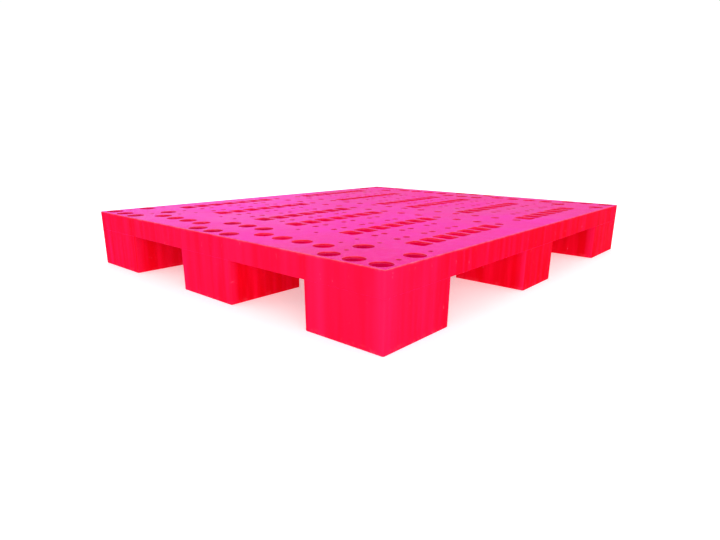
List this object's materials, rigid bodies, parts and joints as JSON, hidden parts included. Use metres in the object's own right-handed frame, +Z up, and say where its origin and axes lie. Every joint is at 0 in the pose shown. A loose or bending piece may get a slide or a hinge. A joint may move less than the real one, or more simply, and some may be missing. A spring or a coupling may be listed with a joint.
{
  "type": "plastic pallet",
  "caption": "Four-way-entry nine-block plastic pallet with a perforated deck and steel-tube stiffening.",
  "frame": {"origin": "on the ground plane, under the centre of the deck", "axes": "+X across the pallet (1000 mm side), +Y along it (1200 mm side), +Z up"},
  "size_m": [1, 1.2, 0.145],
  "materials": {
    "deck_plastic": "moulded polyolefin, fine grain, slight sheen",
    "block_plastic": "moulded polyolefin, fine grain, slight sheen",
    "galvanised_steel": "zinc-plated square tube",
    "screw_steel": "zinc-plated"
  },
  "bodies": {
    "root": {"deck": "deck_plastic", "tube_front": "galvanised_steel", "tube_middle": "galvanised_steel", "tube_rear": "galvanised_steel", "block_front_left": "block_plastic", "block_screws_front_left": "screw_steel", "block_front_centre": "block_plastic", "block_screws_front_centre": "screw_steel", "block_front_right": "block_plastic", "block_screws_front_right": "screw_steel", "block_middle_left": "block_plastic", "block_screws_middle_left": "screw_steel", "block_middle_centre": "block_plastic", "block_screws_middle_centre": "screw_steel", "block_middle_right": "block_plastic", "block_screws_middle_right": "screw_steel", "block_rear_left": "block_plastic", "block_screws_rear_left": "screw_steel", "block_rear_centre": "block_plastic", "block_screws_rear_centre": "screw_steel", "block_rear_right": "block_plastic", "block_screws_rear_right": "screw_steel"}
  },
  "joints": []
}
